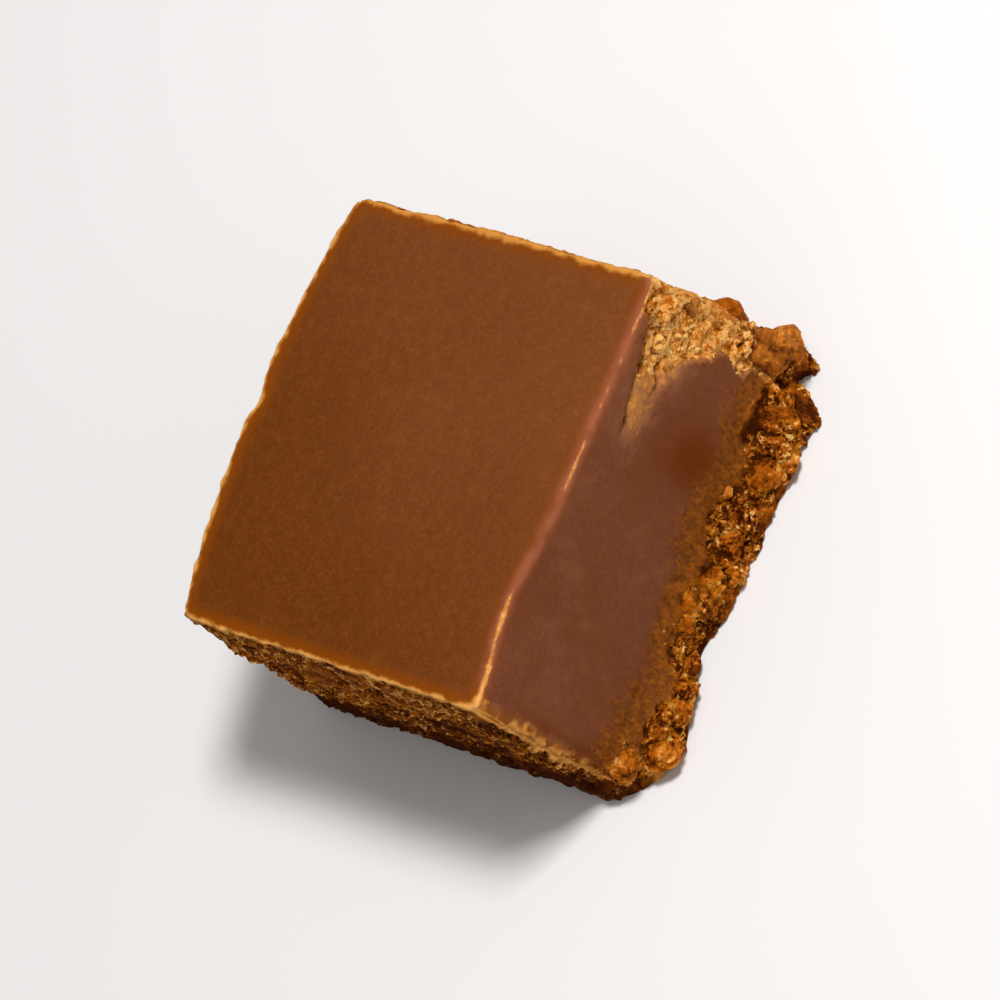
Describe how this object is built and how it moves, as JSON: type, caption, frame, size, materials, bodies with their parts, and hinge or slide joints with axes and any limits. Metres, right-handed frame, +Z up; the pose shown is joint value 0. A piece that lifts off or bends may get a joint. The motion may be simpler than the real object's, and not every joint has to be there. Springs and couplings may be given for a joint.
{
  "type": "chocolate fudge piece",
  "caption": "Hand-cut block of chocolate fudge with a smooth top, knife-cut sides that lean out to a crumbly foot, and one torn upper corner.",
  "frame": {"origin": "middle of the piece's outline on its flat base", "axes": "+X along the longer side, +Y from the smooth cut front to the back, +Z up from the base to the smooth top"},
  "size_m": [0.0388, 0.0372, 0.0202],
  "materials": {
    "fudge": "matte milk-chocolate fudge, golden brown where it has crumbled"
  },
  "bodies": {
    "root": {"fudge": "fudge"}
  },
  "joints": []
}
